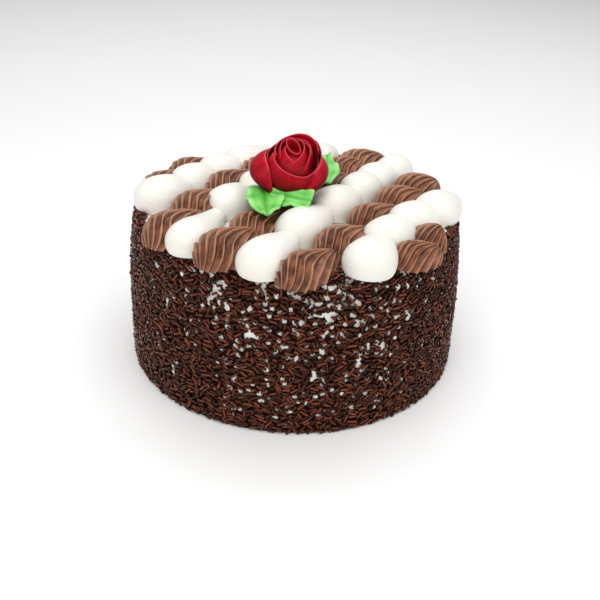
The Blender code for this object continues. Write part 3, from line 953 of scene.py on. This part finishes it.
def model_shell(kind):
    """One round master, its head over the origin and its ribs running to its tail, along +X."""
    below = KINDS[kind]["below"]
    ribbed = kind == "choc"
    segments = sizes().ribs * RIB_STEPS if ribbed else SMOOTH_SEGMENTS
    deselect_all()
    bpy.ops.mesh.primitive_uv_sphere_add(segments=segments, ring_count=SHELL_RINGS, radius=1)
    shell = added(kind + "_shell")
    if ribbed:
        add_ribs(shell)
        twist = shell.modifiers.new("twist", "SIMPLE_DEFORM")
        twist.deform_method = "TWIST"
        twist.deform_axis = "Z"
        twist.angle = RIB_TWIST
        apply_modifiers(shell)
    shell.rotation_euler.y = math.pi / 2 - TAIL_RISE
    take(shell)
    bpy.ops.object.transform_apply(location=False, rotation=True, scale=False)
    edit_mode()
    bpy.ops.mesh.select_all(action="SELECT")
    bpy.ops.mesh.bisect(
        plane_co=(0, 0, -below), plane_no=(0, 0, 1), use_fill=True, clear_inner=True
    )
    bpy.ops.mesh.select_all(action="SELECT")
    bpy.ops.transform.translate(value=(0, 0, below))
    bpy.ops.transform.resize(value=(1, 1, 1 / (1 + below)), center_override=(0, 0, 0))
    object_mode()
    return shell


def add_ribs(shell):
    """Draws the grooves between the ribs in, towards the axis that the shell was piped along."""
    ribs = sizes().ribs
    edit_mode()
    for step in range(1, RIB_STEPS):
        groove = math.sin(math.pi * (step / RIB_STEPS) ** GROOVE_LEAN) ** GROOVE_BLUNTNESS
        draw_in = 1 - sizes().rib_depth * groove

        def in_groove(vertex, step=step):
            phase = math.atan2(vertex.co.y, vertex.co.x) / math.tau * ribs * RIB_STEPS
            return vertex.co.xy.length > 1e-4 and round(phase) % RIB_STEPS == step

        choose(shell, "verts", in_groove)
        bpy.ops.transform.resize(value=(draw_in, draw_in, 1), center_override=(0, 0, 0))
    object_mode()
    points = points_of(shell)
    # Stores painted light round each rib: a highlight on the ridge and shade in the fold beside it.
    phase = np.arctan2(points[:, 1], points[:, 0]) / math.tau * ribs % 1
    ridge_highlight = np.exp(-((np.minimum(phase, 1 - phase) / HIGHLIGHT_WIDTH) ** 2))
    fold_shade = np.exp(-(((phase - FOLD_SHADE_AT) / FOLD_SHADE_WIDTH) ** 2))
    set_values(shell, "crest", FLAT_TONE + (1 - FLAT_TONE) * ridge_highlight - FLAT_TONE * fold_shade)


def draw_out(points, layout):
    """Gives the round master its real size: a full head, a waist behind it and a long tail."""
    kind, tail = KINDS[layout["kind"]], layout["tail"]
    x, y, z = points.T
    back = np.clip(x, 0, 1)
    head = np.exp(-((back * tail / kind["head"]) ** 2))
    narrow = kind["waist"] + (1 - kind["waist"]) * head
    narrow = narrow * np.sqrt(1 + back**2 + kind["full"] * back**4)
    spread = 1 + kind["foot"] * np.clip(1 - z * FOOT_FADE, 0, 1) ** 2
    length = x * np.where(x > 0, tail, kind["nose"] * spread)
    width = y * narrow * kind["half_width"] * spread
    height = np.clip(z, 0, None) ** kind["blunt"] * narrow * kind["height"]
    return np.stack([length, width, height], 1) * layout["size"]


def pipe_shells(kind, material, slot):
    master = model_shell(kind)
    for layout in lay_out_shells():
        if layout["kind"] != kind:
            continue
        piece = copy_of(master, "piped_" + layout["name"])
        points = draw_out(points_of(piece), layout)
        turn = np.array(Matrix.Rotation(layout["turn"], 3, "Z"))
        place = np.array([layout["x"], layout["y"], HEIGHT + GAP - layout["droop"]])
        set_points(piece, points @ turn.T + place)
        for size, height in KINDS[kind]["ripples"]:
            ripple(piece, size, height)
        finish_piece(piece, material, slot, layout["name"])
    remove(master)


# ---- rose and leaves


def model_petal(name, numbers):
    middle, half_span, foot, foot_radius, rim, rim_radius = numbers[:6]
    bulge, late, ends, crown, curl, shift = numbers[6:]
    deselect_all()
    bpy.ops.mesh.primitive_grid_add(x_subdivisions=PETAL_COLUMNS, y_subdivisions=PETAL_ROWS, size=2)
    petal = added(name)
    points = points_of(petal)
    across = points[:, 0].copy()
    rise = (points[:, 1] + 1) / 2
    angle = np.radians(middle + half_span * across)
    wave = np.sin(across * PETAL_WAVES + middle) * PETAL_WAVE * rise**3
    outline = 1 + (ends - 1) * np.abs(across) ** crown
    height = rise * outline
    bulge = bulge * (1 + (ends - 1) * np.abs(across) ** BULGE_FADE)
    radius = foot_radius + (rim_radius - foot_radius) * height
    radius = radius + bulge * np.sin(math.pi * rise**late)
    radius = radius + curl * rise**CURL_POWER * outline + wave
    x, y = radius * np.cos(angle) + shift * rise, radius * np.sin(angle)
    level = foot + (rim - foot) * height + wave
    level = level + RIM_TILT * y * height * max(0, 1 - rim_radius / TILT_NONE_AT)
    set_points(petal, np.stack([x, y, level], 1) * MM)
    # Painted shade at the petal's foot and a painted highlight along its rim are mixed from this.
    set_values(petal, "rise", rise)
    thicken(petal, sizes().petal_thickness, -1)
    apply_modifiers(petal)
    return petal


def model_eye():
    """The innermost wrap of the bud, closed round a hollow that is dark, with painted shade towards
    its foot.
    """
    x, y, radius, rim = EYE
    deselect_all()
    bpy.ops.mesh.primitive_cylinder_add(
        radius=radius * MM, depth=EYE_DEPTH * MM, end_fill_type="NOTHING"
    )
    eye = added("rose_eye")
    edit_mode()
    choose(eye, "edges", runs_up)
    bpy.ops.mesh.subdivide(number_cuts=EYE_CUTS)
    object_mode()
    points = points_of(eye)
    rise = points[:, 2] / (EYE_DEPTH * MM) + 0.5
    points[:, 1] -= EYE_SLANT * points[:, 0]
    points[:, 0] *= EYE_STRETCH
    points[:, 2] += (EYE_TILT[1] * points[:, 1] - EYE_TILT[0] * points[:, 0]) * rise
    points += np.array([x, y, rim - EYE_DEPTH / 2]) * MM
    set_points(eye, points)
    # Painted shade towards the foot of the wrap is mixed from this.
    set_values(eye, "rise", rise)
    thicken(eye, sizes().petal_thickness, 0)
    apply_modifiers(eye)
    return eye


def model_rose_heart():
    """The solid heart that the petals are wrapped round, with the floor of the eye."""
    deselect_all()
    bpy.ops.mesh.primitive_uv_sphere_add(
        radius=HEART_RADIUS, location=HEART_PLACE, rotation=(HEART_LEAN, 0, 0)
    )
    heart = added("rose_heart")
    bpy.ops.object.transform_apply()
    set_values(heart, "rise", np.full(len(heart.data.vertices), HEART_RISE))
    return heart


def model_rose():
    pieces = [model_petal(f"petal_{i}", petal) for i, petal in enumerate(PETALS, 1)]
    pieces += [model_eye(), model_rose_heart()]
    rose = join("piped_rose", pieces)
    rose.location = ROSE_PLACE
    rose.rotation_euler = (ROSE_LEAN, 0, 0)
    finish_piece(rose, rose_icing(), "red_icing", "rose")


def model_leaf(
    name, foot, tip, half_width, foot_level, tip_level, raised, wave, waves, tilt, tip_width
):
    deselect_all()
    bpy.ops.mesh.primitive_grid_add(x_subdivisions=LEAF_COLUMNS, y_subdivisions=LEAF_STRIPS, size=2)
    leaf = added("piped_" + name)
    points = points_of(leaf)
    share = (points[:, 0] + 1) / 2
    side = points[:, 1].copy()
    start = np.array(foot, float)
    along = np.array(tip, float) - start
    across = np.array([-along[1], along[0]]) / np.hypot(*along)
    outline = np.sin(math.pi * (LEAF_START + (1 - LEAF_START) * share))
    end_width = LEAF_FOOT_WIDTH + (tip_width - LEAF_FOOT_WIDTH) * share
    width = half_width * (end_width + (1 - end_width) * outline)
    depth, number, slant = RUFFLES
    width = width * (1 + depth * np.sin(share * number + side * slant))
    place = start + along * share[:, None] + across * (width * side)[:, None]
    ripples = wave * np.abs(side) * np.sin(math.tau * waves * share + side)
    groove = 0
    for at, deep, wide in LEAF_GROOVES:
        groove = groove - deep * np.exp(-(((np.abs(side) - at) / wide) ** 2))
    level = foot_level + (tip_level - foot_level) * share + raised * side**2
    level = level + ripples + groove + tilt * side
    set_points(leaf, np.stack([place[:, 0] * MM, place[:, 1] * MM, HEIGHT + level * MM], 1))
    # Stores painted light: a highlight on the edges and ripple crests, and shade in the grooves and
    # troughs.
    set_values(leaf, "edge", np.clip(np.abs(side) ** 3 + ripples * RIPPLE_LIGHT_AND_SHADE + groove, -1, 1))
    edit_mode()
    bpy.ops.mesh.select_all(action="SELECT")
    bpy.ops.mesh.normals_make_consistent(inside=False)
    object_mode()
    if leaf.data.polygons[0].normal.z < 0:
        edit_mode()
        bpy.ops.mesh.flip_normals()
        object_mode()
    thicken(leaf, sizes().leaf_thickness, -1)
    return leaf


# ---- operators


class CAKE_OT_iced_drum(bpy.types.Operator):
    """Model the iced drum under the sprinkles"""

    bl_idname = "cake.iced_drum"
    bl_label = "Iced drum"
    bl_options = {"REGISTER", "UNDO"}

    def execute(self, context):
        model_iced_drum()
        return {"FINISHED"}


class CAKE_OT_sprinkles(bpy.types.Operator):
    """Coat the side with chocolate sprinkles"""

    bl_idname = "cake.sprinkles"
    bl_label = "Sprinkles"
    bl_options = {"REGISTER", "UNDO"}

    def execute(self, context):
        model_sprinkles()
        return {"FINISHED"}


class CAKE_OT_white_shells(bpy.types.Operator):
    """Pipe the rows of smooth white shells"""

    bl_idname = "cake.white_shells"
    bl_label = "White shells"
    bl_options = {"REGISTER", "UNDO"}

    def execute(self, context):
        pipe_shells("white", white_icing(), "white_icing")
        return {"FINISHED"}


class CAKE_OT_chocolate_shells(bpy.types.Operator):
    """Pipe the rows of ribbed chocolate shells"""

    bl_idname = "cake.chocolate_shells"
    bl_label = "Chocolate shells"
    bl_options = {"REGISTER", "UNDO"}

    def execute(self, context):
        pipe_shells("choc", chocolate_icing(), "chocolate_icing")
        return {"FINISHED"}


class CAKE_OT_rose(bpy.types.Operator):
    """Wrap the petals of the rose round its bud"""

    bl_idname = "cake.rose"
    bl_label = "Rose"
    bl_options = {"REGISTER", "UNDO"}

    def execute(self, context):
        model_rose()
        return {"FINISHED"}


class CAKE_OT_leaves(bpy.types.Operator):
    """Pipe the leaves round the rose"""

    bl_idname = "cake.leaves"
    bl_label = "Leaves"
    bl_options = {"REGISTER", "UNDO"}

    def execute(self, context):
        material = leaf_icing()
        for name, leaf in LEAVES.items():
            finish_piece(model_leaf(name, *leaf), material, "green_icing", name)
        return {"FINISHED"}


class CAKE_OT_stage(bpy.types.Operator):
    """Set up the floor, the soft lights and the camera"""

    bl_idname = "cake.stage"
    bl_label = "Stage"
    bl_options = {"REGISTER", "UNDO"}

    def execute(self, context):
        set_stage()
        return {"FINISHED"}


def add_light(name, place, target, size, energy, colour):
    deselect_all()
    bpy.ops.object.light_add(type="AREA")
    light = bpy.context.active_object
    light.name = name
    light.location = place
    light.rotation_euler = (Vector(target) - Vector(place)).to_track_quat("-Z", "Y").to_euler()
    light.data.size = size
    light.data.energy = energy
    light.data.color = colour


def set_stage():
    deselect_all()
    bpy.ops.object.camera_add(location=CAMERA_PLACE)
    camera = bpy.context.active_object
    turn = Matrix.Rotation(math.pi / 2 - LOOKS_DOWN, 4, "X") @ Matrix.Rotation(CAMERA_ROLL, 4, "Z")
    camera.rotation_euler = turn.to_euler()
    camera.data.lens = LENS
    camera.data.clip_start, camera.data.clip_end = CLIP_START, CLIP_END
    bpy.context.scene.camera = camera

    deselect_all()
    bpy.ops.mesh.primitive_circle_add(
        vertices=FLOOR_SIDES, radius=FLOOR_RADIUS, fill_type="NGON", location=(0, 0, -FLOOR_GAP)
    )
    floor = added("floor")
    edit_mode()
    bpy.ops.mesh.select_all(action="SELECT")
    bpy.ops.mesh.inset(thickness=FLOOR_INSET)
    object_mode()
    take(floor)
    bpy.ops.object.transform_apply()
    floor.data.materials.append(floor_finish())

    for name, light in LIGHTS.items():
        add_light(name, *light)

    world = bpy.data.worlds.new("studio")
    bpy.context.scene.world = world
    world.use_nodes = True
    sky = world.node_tree.nodes["Background"]
    sky.inputs["Color"].default_value = (1, 1, 1, 1)
    sky.inputs["Strength"].default_value = SKY_STRENGTH
    bpy.context.scene.view_settings.view_transform = "Standard"


class CAKE_PT_panel(bpy.types.Panel):
    """Lists the cake's pieces, sizes and colours"""

    bl_label = "Checkerboard cake"
    bl_idname = "CAKE_PT_panel"
    bl_space_type = "VIEW_3D"
    bl_region_type = "UI"
    bl_category = "Cake"

    def draw(self, context):
        for group in (context.scene.cake_sizes, context.scene.cake_colours):
            box = self.layout.box()
            for name in group.bl_rna.properties.keys():
                if name not in ("rna_type", "name"):
                    box.prop(group, name)
        for operator in OPERATORS:
            self.layout.operator(operator.bl_idname)


OPERATORS = (
    CAKE_OT_stage,
    CAKE_OT_iced_drum,
    CAKE_OT_sprinkles,
    CAKE_OT_white_shells,
    CAKE_OT_chocolate_shells,
    CAKE_OT_rose,
    CAKE_OT_leaves,
)
CLASSES = (CakeSizes, CakeColours, *OPERATORS, CAKE_PT_panel)


def register():
    for item in CLASSES:
        bpy.utils.register_class(item)
    bpy.types.Scene.cake_sizes = PointerProperty(type=CakeSizes)
    bpy.types.Scene.cake_colours = PointerProperty(type=CakeColours)


def unregister():
    del bpy.types.Scene.cake_colours
    del bpy.types.Scene.cake_sizes
    for item in reversed(CLASSES):
        bpy.utils.unregister_class(item)


def main():
    register()
    bpy.ops.cake.stage()
    bpy.ops.cake.iced_drum()
    bpy.ops.cake.sprinkles()
    bpy.ops.cake.white_shells()
    bpy.ops.cake.chocolate_shells()
    bpy.ops.cake.rose()
    bpy.ops.cake.leaves()


if __name__ == "__main__":
    main()
